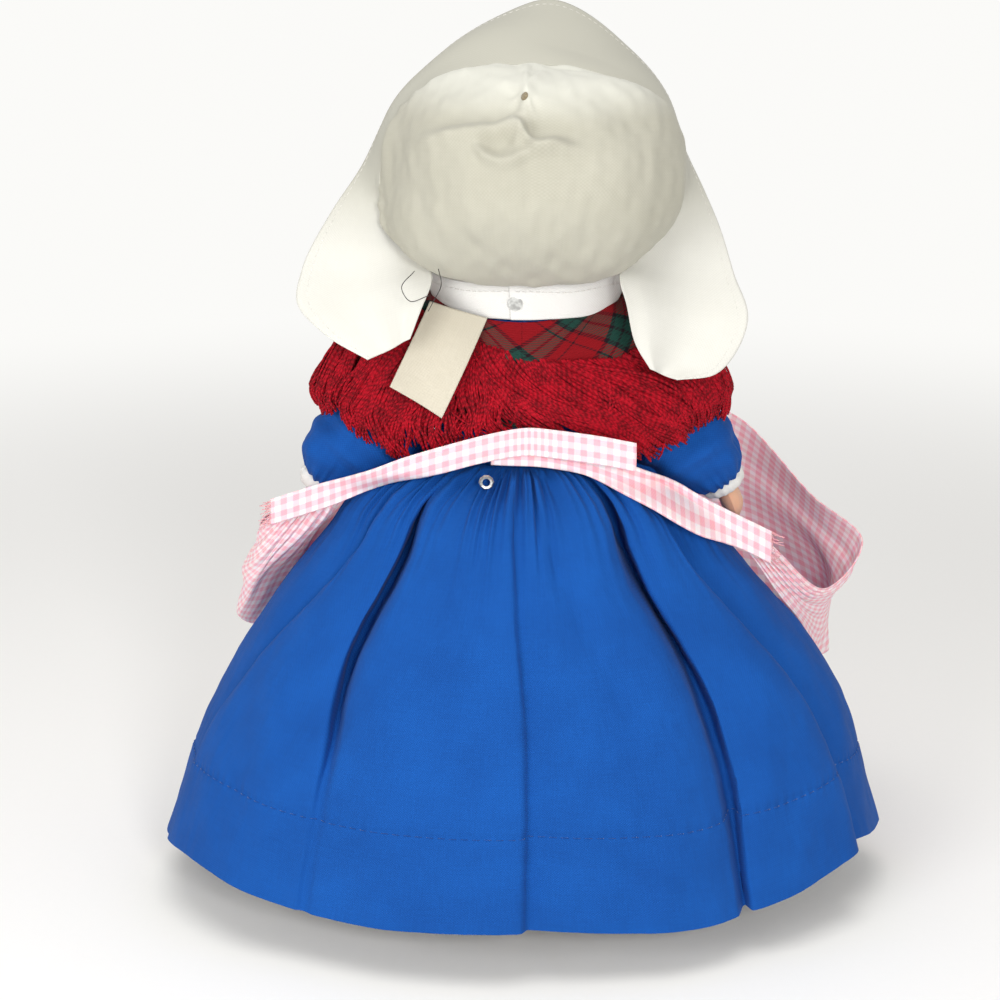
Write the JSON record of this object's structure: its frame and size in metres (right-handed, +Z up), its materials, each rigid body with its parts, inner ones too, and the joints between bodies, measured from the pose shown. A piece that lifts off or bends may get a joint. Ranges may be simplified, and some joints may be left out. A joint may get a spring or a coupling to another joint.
{
  "type": "dressed collector doll",
  "caption": "Standing strung doll in a full blue dress with checked apron, fringed plaid shawl and gathered white bonnet, with turning head, swinging limbs and sleep eyes.",
  "frame": {"origin": "on the floor under the neck axis, midway between the shoes and at the middle of the hem", "axes": "+Z up, the doll faces -Y, +X is the doll's own left"},
  "size_m": [0.1714, 0.1219, 0.205],
  "materials": {
    "doll_plastic": "hard doll plastic with a soft sheen",
    "elastic": "braided stringing elastic",
    "blue_cotton": "plain-weave blue cotton",
    "white_cotton": "white cotton",
    "gingham": "small pink and white checked cotton",
    "plaid_wool": "red, green and black plaid cloth",
    "red_yarn": "loose red yarn fringe",
    "organdy": "crisp white organdy",
    "hair": "synthetic hair fibre",
    "white_plastic": "white plastic",
    "lash": "brush lashes",
    "steel": "plated steel",
    "lead": "dull heavy metal",
    "black_vinyl": "black vinyl"
  },
  "bodies": {
    "torso": {"torso_front_shell": "doll_plastic", "torso_back_shell": "doll_plastic", "arm_elastic": "elastic", "hip_elastic": "elastic", "neck_elastic": "elastic", "dress_bodice": "blue_cotton", "dress_skirt": "blue_cotton", "dress_collar": "white_cotton", "collar_snap": "steel", "petticoat": "white_cotton", "panties": "white_cotton", "shawl": "plaid_wool", "shawl_fringe": "red_yarn", "apron_panel": "gingham", "apron_left_tie": "gingham", "apron_right_tie": "gingham", "apron_snap": "steel", "waist_hook": "steel", "sewn_label": "white_cotton"},
    "head": {"head_front_shell": "doll_plastic", "head_back_shell": "doll_plastic", "neck_plug": "white_plastic", "neck_post": "steel", "wig": "hair", "bonnet_crown": "organdy", "bonnet_brim": "organdy", "bonnet_left_lappet": "organdy", "bonnet_right_lappet": "organdy"},
    "eyes": {"left_eyeball": "white_plastic", "right_eyeball": "white_plastic", "left_eyelid": "doll_plastic", "right_eyelid": "doll_plastic", "left_lash": "lash", "right_lash": "lash", "eye_rocker": "steel", "eye_weight": "lead"},
    "left_arm": {"left_arm": "doll_plastic", "left_sleeve": "blue_cotton", "left_cuff": "white_cotton", "shawl_over_left_arm": "plaid_wool", "shawl_fringe_over_left_arm": "red_yarn"},
    "left_leg": {"left_leg": "doll_plastic", "left_sock": "white_cotton", "left_shoe": "black_vinyl", "left_shoe_sole": "black_vinyl"},
    "right_arm": {"right_arm": "doll_plastic", "right_sleeve": "blue_cotton", "right_cuff": "white_cotton", "shawl_over_right_arm": "plaid_wool", "shawl_fringe_over_right_arm": "red_yarn"},
    "right_leg": {"right_leg": "doll_plastic", "right_sock": "white_cotton", "right_shoe": "black_vinyl", "right_shoe_sole": "black_vinyl"}
  },
  "joints": [
    {"name": "neck_turn", "type": "hinge", "parent": "torso", "child": "head", "pos_m": [0, 0, 0.14], "axis": [0, 0, 1], "range_deg": [-40, 40]},
    {"name": "eye_close", "type": "hinge", "parent": "head", "child": "eyes", "pos_m": [0, -0.01186, 0.16514], "axis": [1, 0, 0], "range_deg": [0, 45]},
    {"name": "left_shoulder", "type": "hinge", "parent": "torso", "child": "left_arm", "pos_m": [0.0204, 0, 0.133], "axis": [-1, 0, 0], "range_deg": [0, 35]},
    {"name": "right_shoulder", "type": "hinge", "parent": "torso", "child": "right_arm", "pos_m": [-0.0204, 0, 0.133], "axis": [-1, 0, 0], "range_deg": [0, 35]},
    {"name": "left_hip", "type": "hinge", "parent": "torso", "child": "left_leg", "pos_m": [0.0124, 0, 0.083], "axis": [-1, 0, 0], "range_deg": [-15, 20]},
    {"name": "right_hip", "type": "hinge", "parent": "torso", "child": "right_leg", "pos_m": [-0.0124, 0, 0.083], "axis": [-1, 0, 0], "range_deg": [-15, 20]}
  ]
}
